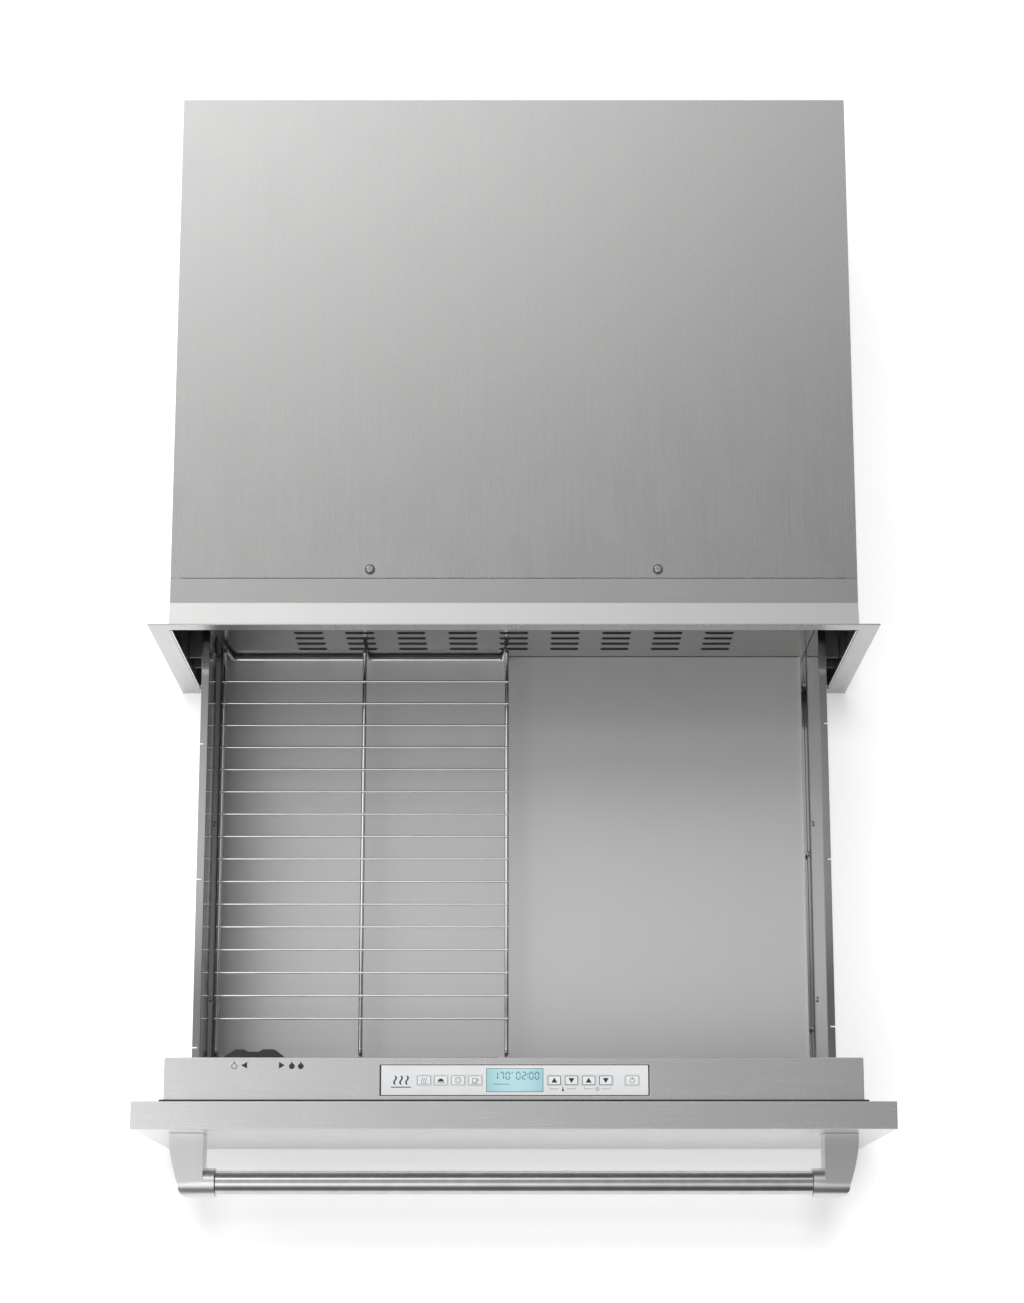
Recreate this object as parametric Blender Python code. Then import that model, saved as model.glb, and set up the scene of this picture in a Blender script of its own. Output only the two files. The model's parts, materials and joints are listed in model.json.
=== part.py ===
"""Built-in warming drawer, modelled with its drawer pulled out, as a set of separate pieces.

X runs to the right, Y to the rear and Z up. The origin is the middle of the base pan's underside.
Every number is in millimetres, and MM turns it into metres where a mesh is made.
"""

import math

import bmesh
import bpy
from mathutils import Matrix, Vector

MM = 0.001
GAP = 0.3  # air between neighbouring pieces
SHEET = 1.0  # thickness of the body's sheet metal
SKIN = 1.2  # thickness of the drawer front's sheet metal

# Cabinet: the box that stays in the cupboard, with a flange round its mouth.
BODY_HALF = 359.0
BODY_TOP = 232.0
BODY_FRONT = -300.0
BODY_REAR = 300.0
FLANGE_HALF = 379.0
FLANGE_TOP = 250.0
FLANGE_BOTTOM = -12.0
FLANGE_SIDE_RAIL = 21.0
FLANGE_CROSS_RAIL = 18.0
FLANGE_SHEET = 1.5
COLLAR_CREST = 237.0  # where the collar meets the flange
COLLAR_FOLD = -270.5
COLLAR_REAR = -243.9
LIP = 10.0  # how far the cover's edges fold down
SIDE_OUTER = BODY_HALF - SHEET - GAP
SIDE_INNER = SIDE_OUTER - SHEET
COVER_SCREW_X = 150.6
COVER_SCREW_Y = -234.0
SCREW_WASHER_RADIUS = 5.35
SCREW_SHANK_RADIUS = 2.0
BAFFLE_Y = 232.0  # in front of it the drawer, behind it the wiring
REAR_SLOT_X = range(-150, 151, 60)
REAR_SLOT_Z = range(140, 183, 14)
GLAND_X = 290.0
GLAND_Z = 50.0
GLAND_HOLE_RADIUS = 11.0

# Drawer box, at the place where it stands when pulled out.
FRONT_FACE = -820.0
FRONT_REAR = -792.4
FRONT_HALF = 381.0
INSULATION_HALF = 368.0
INSULATION_LOW = -6.0
INSULATION_TOP = 165.0
WALL_INNER = 325.8
WALL_OUTER = WALL_INNER + SHEET
DRAWER_LOW = 30.6
WALL_LOW = DRAWER_LOW + SHEET + GAP  # the end walls stand on the side walls' folded feet
FLOOR_TOP = 33.0
RIM_TOP = 160.0
RIM_OUTER = 334.0
BACK_INNER = -270.0
BACK_SLOT_X = range(-224, 225, 56)
BACK_SLOT_Z = range(64, 145, 20)
INNER_FRONT_REAR = -751.0
RIM_NOTCHES = {1: (-381.0, -528.5, -706.0), -1: (-403.5, -550.0, -728.0)}

# Seal on the front's rear, which slips into the flange's mouth when the drawer shuts.
SEAL_CLEARANCE = 1.5
SEAL_WIDTH = 2.1

# Control housing along the top of the drawer's front.
HOUSING_HALF = 352.0
HOUSING_REAR = -746.0
HOUSING_LOW = 165.0
HOUSING_TOP = 228.0
FASCIA_MIDDLE = 0.75
FASCIA_LENGTH = 268.5
FASCIA_DEPTH = 30.0
FASCIA_Y = -769.0
FASCIA_TOP = 227.6
FASCIA_SHEET = 1.6
WINDOW_SIZE = (56.6, 23.0)
WINDOW_X = 0.8
CONTROL_BOARD_Z = 219.6
CONNECTOR_SPANS = ((-100.0, -70.0), (60.0, 100.0))
KEY_SIZE = (14.6, 10.6)
KEY_Y = -769.2
KEYS = {
    "key_program_1": -90.5,
    "key_program_2": -73.5,
    "key_program_3": -56.2,
    "key_program_4": -39.0,
    "key_temperature_up": 40.6,
    "key_temperature_down": 57.8,
    "key_timer_up": 75.1,
    "key_timer_down": 92.3,
    "key_power": 118.9,
}

# Moisture vent slider in the housing's rear wall.
SLIDER_X = -263.5
SLIDER_Z = 197.5
SLIDER_TRAVEL = 20.0
SLIDER_LENGTH = 61.0
SLIDER_HEIGHT = 35.0

# Handle.
HANDLE_Y = -869.0
HANDLE_Z = 189.0
HANDLE_REACH = -884.0
BAR_RADIUS = 12.0
SLEEVE_RADIUS = 15.0
SLEEVE_END = 302.5
BRACKET_INNER = 314.0
BRACKET_OUTER = 349.0
BRACKET_CORNER = 10.0
BOW_LENGTH = 52.0
BOW_DEPTH = 10.0
BOW_STEPS = 6
SLEEVE_OVERLAP = 4.0

# Drawer slides: three nested channels on each side.
SLIDE_Z = 84.0
SLIDE_LENGTH = 490.0
SLIDE_SHEET = 1.2
OUTER_SLIDE_FRONT = -292.0
RUNNER_FRONT = -536.0
INNER_SLIDE_FRONT = -780.0

# Wire rack in the drawer's left half.
RAIL_X = (-320.0, -165.0, -8.0)
RAIL_RADIUS = 2.5
RAIL_Z = 77.6
WIRE_RADIUS = 1.25
WIRE_COUNT = 16
WIRE_PITCH = 25.0
WIRE_REAR = -312.4
RAIL_REAR = -280.0
RAIL_FRONT = -720.0
FOOT_WIRE_Z = FLOOR_TOP + GAP + RAIL_RADIUS

# Heating element in the bottom of the cabinet.
ELEMENT_Z = 16.0
ELEMENT_RADIUS = 3.25
ELEMENT_RUNS = (-200.0, -120.0, -40.0, 40.0, 120.0, 200.0)
ELEMENT_FRONT = -190.0
ELEMENT_REAR = 165.0
ELEMENT_TAIL = 246.0  # its ends pass through the baffle
ELEMENT_BRACKETS = {"front": -150.0, "rear": 120.0}
BRACKET_FOOT_Z = 9.2
BRACKET_HALF = 230.0
PAD_HALF = 330.0
PAD_FRONT = -285.0
PAD_REAR = 225.0

# Parts that hang on the rear of the baffle.
MOUNT_Y = BAFFLE_Y + SHEET + 0.4
PROBE = (120.0, MOUNT_Y, 120.0)
CUTOUT = (-40.0, MOUNT_Y, 120.0)

# Power board behind the baffle: left, low, right and high edge, seen along Y.
BOARD_SHEET = 1.6
POWER_BOARD = (-250.0, 60.0, -110.0, 180.0)
POWER_BOARD_Y = 246.0
# Transformer, two relays and a connector: the same four edges, then the depth.
POWER_PARTS = (
    (-240.0, 70.0, -200.0, 105.0, 28.0),
    (-190.0, 70.0, -172.0, 98.0, 15.0),
    (-165.0, 70.0, -147.0, 98.0, 15.0),
    (-240.0, 150.0, -130.0, 168.0, 12.0),
)
POWER_CAPACITOR = (-145.0, 256.0, 130.0)
TERMINAL_BLOCK = ((170.0, 274.0, 34.0), (250.0, 298.0, 58.0))
TERMINAL_CELLS = (178.0, 196.0, 214.0, 232.0)

# Colour, roughness and metallic value of each finish.
FINISHES = {
    "galvanised": ((0.50, 0.50, 0.49), 0.36, 1.0),
    "stainless": ((0.62, 0.61, 0.60), 0.30, 1.0),
    "polished": ((0.70, 0.70, 0.70), 0.12, 1.0),
    "chrome": ((0.78, 0.78, 0.79), 0.06, 1.0),
    "zinc": ((0.55, 0.56, 0.57), 0.28, 1.0),
    "aluminium": ((0.72, 0.72, 0.72), 0.40, 1.0),
    "black_plastic": ((0.02, 0.02, 0.022), 0.45, 0.0),
    "overlay": ((0.72, 0.73, 0.74), 0.35, 0.0),
    "key_cap": ((0.80, 0.80, 0.80), 0.40, 0.0),
    "display": ((0.40, 0.68, 0.72), 0.15, 0.0),
    "board": ((0.03, 0.16, 0.07), 0.50, 0.0),
    "rubber": ((0.03, 0.03, 0.03), 0.75, 0.0),
    "wool": ((0.62, 0.55, 0.36), 0.95, 0.0),
    "ceramic": ((0.80, 0.76, 0.68), 0.55, 0.0),
    "element": ((0.16, 0.14, 0.13), 0.45, 1.0),
}


def clear_scene():
    for obj in list(bpy.data.objects):
        bpy.data.objects.remove(obj, do_unlink=True)


def frame_empty(name, x, y, z):
    """An empty that the pieces of one moving body hang from."""
    empty = bpy.data.objects.new(name, None)
    empty.location = Vector((x, y, z)) * MM
    bpy.context.scene.collection.objects.link(empty)
    return empty


def give_material(obj, finish):
    colour, roughness, metallic = FINISHES[finish]
    material = bpy.data.materials.new(obj.name + "_" + finish)
    material.use_nodes = True
    shader = material.node_tree.nodes["Principled BSDF"]
    shader.inputs["Base Color"].default_value = (*colour, 1.0)
    shader.inputs["Roughness"].default_value = roughness
    shader.inputs["Metallic"].default_value = metallic
    obj.data.materials.append(material)


def make_object(name, bm, at=(0, 0, 0), parent=None, finish=None):
    """Turns a bmesh in millimetres, drawn about the point at, into an object that stands there."""
    bmesh.ops.recalc_face_normals(bm, faces=bm.faces)
    bmesh.ops.scale(bm, vec=(MM, MM, MM), verts=bm.verts)
    mesh = bpy.data.meshes.new(name)
    bm.to_mesh(mesh)
    bm.free()
    mesh.shade_smooth()
    mesh.set_sharp_from_angle(angle=math.radians(35))
    obj = bpy.data.objects.new(name, mesh)
    bpy.context.scene.collection.objects.link(obj)
    obj.location = Vector(at) * MM
    if parent:
        obj.parent = parent
        obj.location -= parent.location
    if finish:
        give_material(obj, finish)
    return obj


def add_box(bm, low, high):
    """Adds a box between two corners, and returns its vertices."""
    low, high = Vector(low), Vector(high)
    place = Matrix.Translation((low + high) / 2) @ Matrix.Diagonal((*(high - low), 1.0))
    return bmesh.ops.create_cube(bm, size=1.0, matrix=place)["verts"]


def box(name, low, high, parent, finish, bevel=0.0):
    """A box between two corners, with its origin in its middle."""
    low, high = Vector(low), Vector(high)
    middle = (low + high) / 2
    bm = bmesh.new()
    add_box(bm, low - middle, high - middle)
    if bevel:
        bmesh.ops.bevel(bm, geom=bm.edges[:], offset=bevel, segments=1, affect="EDGES")
    return make_object(name, bm, middle, parent, finish)


def pan(name, low, high, wall, open_side, parent, finish):
    """A box with one side open, whose other walls are that thick. open_side is its outward normal."""
    low, high = Vector(low), Vector(high)
    middle = (low + high) / 2
    outward = Vector(open_side)
    bm = bmesh.new()
    add_box(bm, low - middle, high - middle)
    bm.normal_update()
    mouth = max(bm.faces, key=lambda face: face.normal.dot(outward))
    depth = abs((high - low).dot(outward)) - wall
    bmesh.ops.inset_region(bm, faces=[mouth], thickness=wall)
    sunk = bmesh.ops.extrude_face_region(bm, geom=[mouth])["geom"]
    moved = [item for item in sunk if isinstance(item, bmesh.types.BMVert)]
    bmesh.ops.translate(bm, verts=moved, vec=outward * -depth)
    bmesh.ops.delete(bm, geom=[mouth], context="FACES_ONLY")
    return make_object(name, bm, middle, parent, finish)


AXES = {"X": (1, 2, 0), "Y": (0, 2, 1), "Z": (0, 1, 2)}


def add_prism(bm, outline, axis, low, high):
    """Adds an outline drawn across an axis, extruded along it from low to high."""
    first, second, along = AXES[axis]
    corners = []
    for u, v in outline:
        point = [0.0, 0.0, 0.0]
        point[first], point[second], point[along] = u, v, low
        corners.append(bm.verts.new(point))
    face = bm.faces.new(corners)
    grown = bmesh.ops.extrude_face_region(bm, geom=[face])["geom"]
    moved = [item for item in grown if isinstance(item, bmesh.types.BMVert)]
    travel = Vector((0, 0, 0))
    travel[along] = high - low
    bmesh.ops.translate(bm, verts=moved, vec=travel)


def prism(name, outline, axis, low, high, parent, finish):
    bm = bmesh.new()
    add_prism(bm, outline, axis, low, high)
    return make_object(name, bm, (0, 0, 0), parent, finish)


def bent_sheet(path, thickness):
    """The outline of a folded sheet that lies on the left of a path of its outer corners."""
    inner = []
    points = [Vector(point) for point in path]
    for i, point in enumerate(points):
        before = (point - points[i - 1]).normalized() if i else None
        after = (points[i + 1] - point).normalized() if i + 1 < len(points) else None
        before, after = before or after, after or before
        normal = Vector((-before.y - after.y, before.x + after.x)).normalized()
        reach = thickness / normal.dot(Vector((-before.y, before.x)))
        inner.append(point + normal * reach)
    return [tuple(point) for point in points + inner[::-1]]


def add_cylinder(bm, centre, axis, radius, length, sides):
    """Adds a cylinder about a centre, along an axis."""
    turn = Vector((0, 0, 1)).rotation_difference(Vector(axis)).to_matrix().to_4x4()
    place = Matrix.Translation(centre) @ turn
    bmesh.ops.create_cone(
        bm,
        cap_ends=True,
        segments=sides,
        radius1=radius,
        radius2=radius,
        depth=length,
        matrix=place,
    )


def turned(name, profile, centre, parent, finish, sides=20):
    """A closed profile of (radius, Y) points spun about an axis along Y through the centre."""
    bm = bmesh.new()
    ring = [bm.verts.new((radius, along, 0)) for radius, along in profile]
    edges = [bm.edges.new((ring[i - 1], ring[i])) for i in range(len(ring))]
    bmesh.ops.spin(bm, geom=edges, axis=(0, 1, 0), cent=(0, 0, 0), angle=math.tau, steps=sides)
    bmesh.ops.remove_doubles(bm, verts=bm.verts, dist=0.01)
    bmesh.ops.dissolve_degenerate(bm, dist=0.001, edges=bm.edges)
    return make_object(name, bm, centre, parent, finish)


def add_tube(bm, path, radius, sides):
    """Adds a round tube that follows a path, with its ends closed."""
    points = [Vector(point) for point in path]
    rings = []
    normal = None
    for i, point in enumerate(points):
        before = (point - points[i - 1]).normalized() if i else None
        after = (points[i + 1] - point).normalized() if i + 1 < len(points) else None
        before, after = before or after, after or before
        along = (before + after).normalized()
        if normal is None:
            normal = along.orthogonal()
        normal = (normal - along * normal.dot(along)).normalized()
        side = along.cross(normal)
        spread = radius / max(along.dot(before), 0.7)
        ring = []
        for k in range(sides):
            angle = math.tau * (k + 0.5) / sides
            offset = normal * math.cos(angle) + side * math.sin(angle)
            ring.append(bm.verts.new(point + offset * spread))
        rings.append(ring)
    for first, second in zip(rings, rings[1:]):
        for k in range(sides):
            bm.faces.new((first[k - 1], first[k], second[k], second[k - 1]))
    bm.faces.new(rings[0])
    bm.faces.new(rings[-1])


def cutter(name, bm, parent=None):
    """A hidden helper for a Boolean."""
    obj = make_object(name, bm, (0, 0, 0), parent)
    obj.hide_render = True
    obj.display_type = "WIRE"
    return obj


def boolean(obj, other, operation):
    change = obj.modifiers.new(other.name, "BOOLEAN")
    change.operation = operation
    change.solver = "EXACT"
    change.object = other
    return obj


def cut_boxes(obj, boxes):
    """Cuts a set of boxes, given by their corners, out of a piece."""
    bm = bmesh.new()
    for low, high in boxes:
        add_box(bm, low, high)
    return boolean(obj, cutter(obj.name + "_cuts", bm), "DIFFERENCE")


def cut_holes(obj, centres, axis, radius, length, sides=16):
    bm = bmesh.new()
    for centre in centres:
        add_cylinder(bm, centre, axis, radius, length, sides)
    return boolean(obj, cutter(obj.name + "_holes", bm), "DIFFERENCE")


def add_pieces(obj, make):
    """Joins one more closed shape, drawn by make in world millimetres, to a piece."""
    bm = bmesh.new()
    make(bm)
    helper = cutter(f"{obj.name}_joined_{len(obj.modifiers)}", bm)
    return boolean(obj, helper, "UNION")


def side_name(side):
    return "right" if side > 0 else "left"


# Cabinet pieces


def make_shell(cabinet):
    inner = SIDE_INNER - GAP
    pan("base_pan", (-inner, -298.2, 0), (inner, 298.6, 14), SHEET, (0, 0, 1), cabinet, "galvanised")
    for side in (1, -1):
        path = [(side * SIDE_OUTER, 0), (side * SIDE_OUTER, BODY_TOP - SHEET - GAP)]
        path.append((side * (SIDE_OUTER - LIP), path[1][1]))
        outline = bent_sheet(path, side * SHEET)
        name = side_name(side) + "_side_panel"
        prism(name, outline, "Y", -298.2, 298.5, cabinet, "galvanised")
    low = (-BODY_HALF, COLLAR_REAR + 0.8, BODY_TOP - LIP)
    high = (BODY_HALF, BODY_REAR, BODY_TOP)
    cover = pan("top_cover", low, high, SHEET, (0, 0, -1), cabinet, "galvanised")
    screws = [(side * COVER_SCREW_X, COVER_SCREW_Y, BODY_TOP) for side in (1, -1)]
    cut_holes(cover, screws, (0, 0, 1), SCREW_SHANK_RADIUS + 0.4, 10)
    inner = BODY_HALF - SHEET
    front_lip = ((-inner, low[1] - 1, low[2] - 1), (inner, low[1] + SHEET, BODY_TOP - SHEET))
    cut_boxes(cover, [front_lip])


def make_rear_panel(cabinet):
    low = (-SIDE_OUTER, BODY_REAR - SHEET - 0.1, 0)
    high = (SIDE_OUTER, BODY_REAR - 0.1, BODY_TOP - LIP - 0.4)
    panel = box("rear_panel", low, high, cabinet, "galvanised")
    slots = []
    for x in REAR_SLOT_X:
        for z in REAR_SLOT_Z:
            slots.append(((x - 20, BODY_REAR - 10, z - 2), (x + 20, BODY_REAR + 10, z + 2)))
    cut_boxes(panel, slots)
    cut_holes(panel, [(GLAND_X, BODY_REAR, GLAND_Z)], (0, 1, 0), GLAND_HOLE_RADIUS, 20)


def make_flange(cabinet):
    low = (-FLANGE_HALF, BODY_FRONT, FLANGE_BOTTOM)
    high = (FLANGE_HALF, BODY_FRONT + FLANGE_SHEET, FLANGE_TOP)
    ring = box("front_frame", low, high, cabinet, "stainless")
    half = FLANGE_HALF - FLANGE_SIDE_RAIL
    mouth_low = (-half, -310, FLANGE_BOTTOM + FLANGE_CROSS_RAIL)
    mouth_high = (half, -290, FLANGE_TOP - FLANGE_CROSS_RAIL)
    cut_boxes(ring, [(mouth_low, mouth_high)])


def make_collar(cabinet):
    path = [(COLLAR_REAR, BODY_TOP), (COLLAR_FOLD, BODY_TOP), (-298.2, COLLAR_CREST)]
    outline = bent_sheet(path, SHEET)
    collar = prism("front_collar", outline, "X", -BODY_HALF, BODY_HALF, cabinet, "stainless")

    def lips(bm):
        for side in (1, -1):
            outer, inner = side * BODY_HALF, side * (BODY_HALF - SHEET)
            low = (min(outer, inner), -298.2, BODY_TOP - LIP)
            add_box(bm, low, (max(outer, inner), COLLAR_REAR, BODY_TOP - 0.5))

    add_pieces(collar, lips)


def make_cover_screw(side, cabinet):
    """A pan-head screw with its washer, and a cross slot."""
    centre = Vector((side * COVER_SCREW_X, COVER_SCREW_Y, BODY_TOP))
    bm = bmesh.new()
    add_cylinder(bm, (0, 0, 0.7), (0, 0, 1), SCREW_WASHER_RADIUS, 0.8, 20)
    screw = make_object(f"cover_screw_{side_name(side)}", bm, centre, cabinet, "zinc")

    bm = bmesh.new()
    add_cylinder(bm, centre + Vector((0, 0, -2.2)), (0, 0, 1), SCREW_SHANK_RADIUS, 10.4, 12)
    taper = Matrix.Translation(centre + Vector((0, 0, 1.9)))
    bmesh.ops.create_cone(
        bm, cap_ends=True, segments=20, radius1=3.7, radius2=2.3, depth=1.9, matrix=taper
    )
    boolean(screw, cutter(screw.name + "_head", bm), "UNION")
    x, y, z = centre
    cross = [((x - 2, y - 0.4, z + 2), (x + 2, y + 0.4, z + 4))]
    cross.append(((x - 0.4, y - 2, z + 2), (x + 0.4, y + 2, z + 4)))
    for index, corners in enumerate(cross):
        bm = bmesh.new()
        add_box(bm, *corners)
        boolean(screw, cutter(f"{screw.name}_slot_{index}", bm), "DIFFERENCE")


def channel(side, web, edge, half_height):
    """The outline of a slide channel: its web stands at |X| = web and its flanges reach to edge."""
    toward = 1 if edge > web else -1
    path = [(edge, -half_height), (web, -half_height), (web, half_height), (edge, half_height)]
    outline = bent_sheet(path, SLIDE_SHEET * -toward)
    return [(side * x, SLIDE_Z + z) for x, z in outline]


def make_fixed_slides(side, cabinet):
    name = side_name(side)
    rear = OUTER_SLIDE_FRONT + SLIDE_LENGTH
    outline = channel(side, 339.8, 331.0, 22.8)
    prism(f"slide_outer_{name}", outline, "Y", OUTER_SLIDE_FRONT, rear, cabinet, "zinc")
    outline = channel(side, 340.1, SIDE_INNER - GAP, 20.0)
    prism(f"slide_bracket_{name}", outline, "Y", OUTER_SLIDE_FRONT, rear, cabinet, "galvanised")


def make_runner(side):
    name = side_name(side)
    place = frame_empty(f"runner_{name}_axis", side * 337.0, RUNNER_FRONT, SLIDE_Z)
    outline = channel(side, 338.2, 329.6, 19.6)
    rear = RUNNER_FRONT + SLIDE_LENGTH
    prism(f"runner_{name}", outline, "Y", RUNNER_FRONT, rear, place, "zinc")


def element_path():
    """Straight runs along Y, joined by half turns at the front and at the rear."""
    path = [(ELEMENT_RUNS[0], ELEMENT_TAIL, ELEMENT_Z)]
    toward_front = True
    for x, following in zip(ELEMENT_RUNS, ELEMENT_RUNS[1:]):
        radius = (following - x) / 2
        end = ELEMENT_FRONT if toward_front else ELEMENT_REAR
        sign = -1 if toward_front else 1
        for step in range(9):
            angle = math.pi * step / 8
            turn_x = x + radius - radius * math.cos(angle)
            path.append((turn_x, end + sign * radius * math.sin(angle), ELEMENT_Z))
        toward_front = not toward_front
    path.append((ELEMENT_RUNS[-1], ELEMENT_TAIL, ELEMENT_Z))
    return path


def make_heater(cabinet):
    bm = bmesh.new()
    add_tube(bm, element_path(), ELEMENT_RADIUS, 8)
    make_object("heating_element", bm, (0, 0, 0), cabinet, "element")
    for node, bottom, top, finish in (
        ("insulation_pad", 1.4, 6.6, "wool"),
        ("heat_reflector", 7.0, 7.8, "aluminium"),
    ):
        box(node, (-PAD_HALF, PAD_FRONT, bottom), (PAD_HALF, PAD_REAR, top), cabinet, finish)
    crest = ELEMENT_Z - ELEMENT_RADIUS - GAP
    for name, y in ELEMENT_BRACKETS.items():
        half = [(y - 16, BRACKET_FOOT_Z), (y - 7, BRACKET_FOOT_Z), (y - 7, crest)]
        path = half + [(2 * y - u, v) for u, v in reversed(half)]
        outline = bent_sheet(path, -SHEET)
        prism(f"element_bracket_{name}", outline, "X", -BRACKET_HALF, BRACKET_HALF, cabinet, "zinc")


def make_baffle(cabinet):
    low = (-SIDE_INNER + GAP + 1.6, BAFFLE_Y, 1.4)
    high = (SIDE_INNER - GAP - 1.6, BAFFLE_Y + SHEET, 229.4)
    baffle = box("rear_baffle", low, high, cabinet, "galvanised")
    holes = [(ELEMENT_RUNS[0], BAFFLE_Y, ELEMENT_Z), (ELEMENT_RUNS[-1], BAFFLE_Y, ELEMENT_Z)]
    holes.append((PROBE[0], BAFFLE_Y, PROBE[2]))
    cut_holes(baffle, holes, (0, 1, 0), 4.6, 10)


def make_wiring(cabinet):
    probe = [(0, -10.4), (3, -10.4), (3, 0), (8, 0), (8, 2.6), (4, 2.6), (4, 18.6), (0, 18.6)]
    turned("temperature_sensor", probe, PROBE, cabinet, "stainless", 16)

    cutout = [(0, 0), (12, 0), (12, 1.2), (8, 1.2), (8, 9), (0, 9)]
    disc = turned("thermal_cutout", cutout, CUTOUT, cabinet, "black_plastic")

    def blades(bm):
        for shift in (-4, 4):
            x, y, z = CUTOUT[0] + shift, CUTOUT[1], CUTOUT[2]
            add_box(bm, (x - 2, y + 7.6, z - 0.4), (x + 2, y + 17.6, z + 0.4))

    add_pieces(disc, blades)

    left, low, right, high = POWER_BOARD
    face = POWER_BOARD_Y + BOARD_SHEET
    board = box(
        "power_board", (left, POWER_BOARD_Y, low), (right, face, high), cabinet, "board"
    )

    def components(bm):
        for part_left, part_low, part_right, part_high, depth in POWER_PARTS:
            corner = (part_right, face - 0.6 + depth, part_high)
            add_box(bm, (part_left, face - 0.6, part_low), corner)
        add_cylinder(bm, POWER_CAPACITOR, (0, 1, 0), 9, 18, 16)
        for x in (left + 6, right - 6):
            for z in (low + 6, high - 6):
                add_cylinder(bm, (x, POWER_BOARD_Y - 6, z), (0, 1, 0), 3, 13, 8)

    add_pieces(board, components)

    low, high = TERMINAL_BLOCK
    block = box("terminal_block", low, high, cabinet, "ceramic")
    cells = []
    for x in TERMINAL_CELLS:
        cells.append(((x, low[1] - 4, low[2] + 6), (x + 10, low[1] + 12, high[2] + 6)))
    cut_boxes(block, cells)

    neck = GLAND_HOLE_RADIUS - 0.6
    gland = [(5, -10), (11.9, -10), (11.9, -2), (neck, -2), (neck, 0.3)]
    gland += [(14, 0.3), (14, 2.5), (9, 5), (5, 5)]
    centre = (GLAND_X, BODY_REAR, GLAND_Z)
    turned("cord_gland", gland, centre, cabinet, "black_plastic", 24)


# Drawer pieces


def make_drawer_box(drawer):
    edge = WALL_INNER - 3.6
    low, high = (-edge, INNER_FRONT_REAR + 0.4, FLOOR_TOP - SHEET), (edge, BACK_INNER - 0.4, FLOOR_TOP + 5)
    tray = pan("drawer_floor", low, high, SHEET, (0, 0, 1), drawer, "polished")
    ends = []
    for y in (low[1] - 1, high[1] - 5):
        ends.append(((-edge + SHEET, y, FLOOR_TOP), (edge - SHEET, y + 6, FLOOR_TOP + 9)))
    cut_boxes(tray, ends)
    for side in (1, -1):
        make_drawer_side(side, drawer)

    path = [(BACK_INNER + 7, RIM_TOP), (BACK_INNER, RIM_TOP), (BACK_INNER, WALL_LOW)]
    outline = bent_sheet(path, SHEET)
    inner = WALL_INNER - 0.4
    back = prism("drawer_back", outline, "X", -inner, inner, drawer, "polished")
    slots = []
    for x in BACK_SLOT_X:
        for z in BACK_SLOT_Z:
            slots.append(((x - 15, BACK_INNER - 5, z - 2), (x + 15, BACK_INNER + 5, z + 2)))
    cut_boxes(back, slots)

    low = (-inner, INNER_FRONT_REAR - SHEET, WALL_LOW)
    high = (inner, INNER_FRONT_REAR, HOUSING_LOW - 0.4)
    box("drawer_inner_front", low, high, drawer, "polished")


def make_drawer_side(side, drawer):
    """A wall with its rim folded outwards, and its foot folded inwards under the floor."""
    path = [(RIM_OUTER, RIM_TOP), (WALL_INNER, RIM_TOP), (WALL_INNER, DRAWER_LOW + SHEET)]
    path.append((WALL_INNER - 14, DRAWER_LOW + SHEET))
    outline = [(side * x, z) for x, z in bent_sheet(path, SHEET)]
    name = f"drawer_side_{side_name(side)}"
    wall = prism(name, outline, "Y", FRONT_REAR + 0.6, BACK_INNER + SHEET - 0.4, drawer, "polished")
    notches = []
    for y in RIM_NOTCHES[side]:
        near, far = sorted((side * (RIM_OUTER - 5), side * (RIM_OUTER + 2)))
        notches.append(((near, y - 0.6, RIM_TOP - 3), (far, y + 0.6, RIM_TOP + 2)))
    cut_boxes(wall, notches)


def make_front(drawer):
    low = (-FRONT_HALF, FRONT_FACE, FLANGE_BOTTOM)
    high = (FRONT_HALF, FRONT_REAR, FLANGE_TOP)
    pan("front_skin", low, high, SKIN, (0, 1, 0), drawer, "stainless")
    inset = SKIN + 0.4
    low = (-FRONT_HALF + inset, FRONT_REAR - SKIN, FLANGE_BOTTOM + inset)
    high = (FRONT_HALF - inset, FRONT_REAR, FLANGE_TOP - inset)
    box("front_backing", low, high, drawer, "galvanised")
    low = (-INSULATION_HALF, FRONT_FACE + 2, INSULATION_LOW)
    high = (INSULATION_HALF, FRONT_REAR - 2, INSULATION_TOP)
    box("front_insulation", low, high, drawer, "wool")
    mouth = FLANGE_HALF - FLANGE_SIDE_RAIL - SEAL_CLEARANCE
    low = (-mouth, FRONT_REAR + GAP, FLANGE_BOTTOM + FLANGE_CROSS_RAIL + SEAL_CLEARANCE)
    high = (mouth, FRONT_REAR + 3.8, FLANGE_TOP - FLANGE_CROSS_RAIL - SEAL_CLEARANCE)
    ring = box("front_seal", low, high, drawer, "rubber")
    inside_low = (low[0] + SEAL_WIDTH, low[1] - 5, low[2] + SEAL_WIDTH)
    inside_high = (high[0] - SEAL_WIDTH, high[1] + 5, high[2] - SEAL_WIDTH)
    cut_boxes(ring, [(inside_low, inside_high)])


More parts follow.
